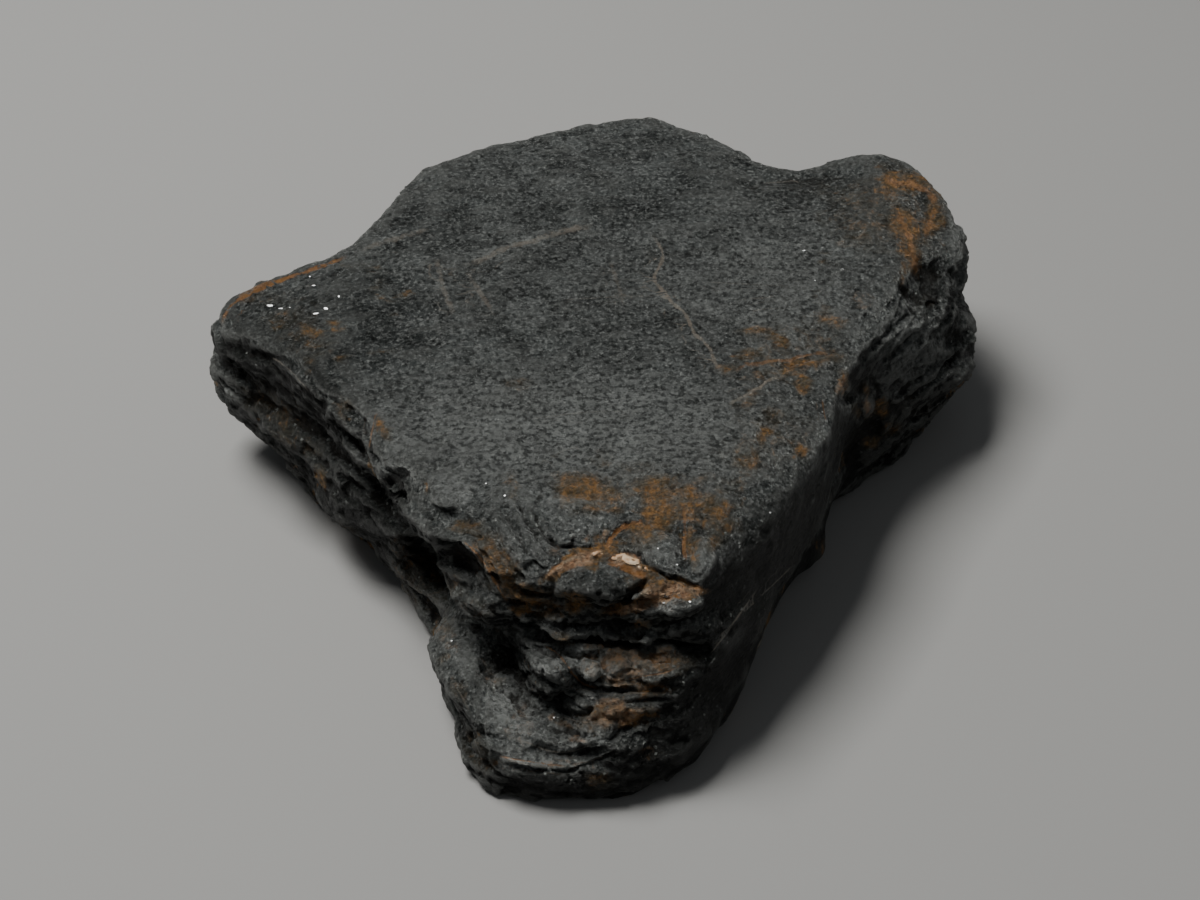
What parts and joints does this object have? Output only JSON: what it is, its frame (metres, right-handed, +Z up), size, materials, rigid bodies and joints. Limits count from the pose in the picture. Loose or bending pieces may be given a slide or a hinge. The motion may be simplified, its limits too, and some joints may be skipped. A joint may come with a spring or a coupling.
{
  "type": "tantalite crystal",
  "caption": "Heavy dark mineral specimen: a thick, striated slab with a flat top, ledged sides and a broken, rust-stained nose. Lies flat for display.",
  "frame": {"origin": "middle of the stone's outline in plan, at the height of the patches that it rests on", "axes": "+Z up from the surface that it rests on, through its thinnest way; -Y towards the broken nose, +X towards the ribbed lobe"},
  "size_m": [0.0526, 0.0538, 0.0148],
  "materials": {
    "tantalite": "dark grey, finely striated, sub-metallic sheen, rust-brown stains"
  },
  "bodies": {
    "root": {"tantalite_crystal": "tantalite"}
  },
  "joints": []
}
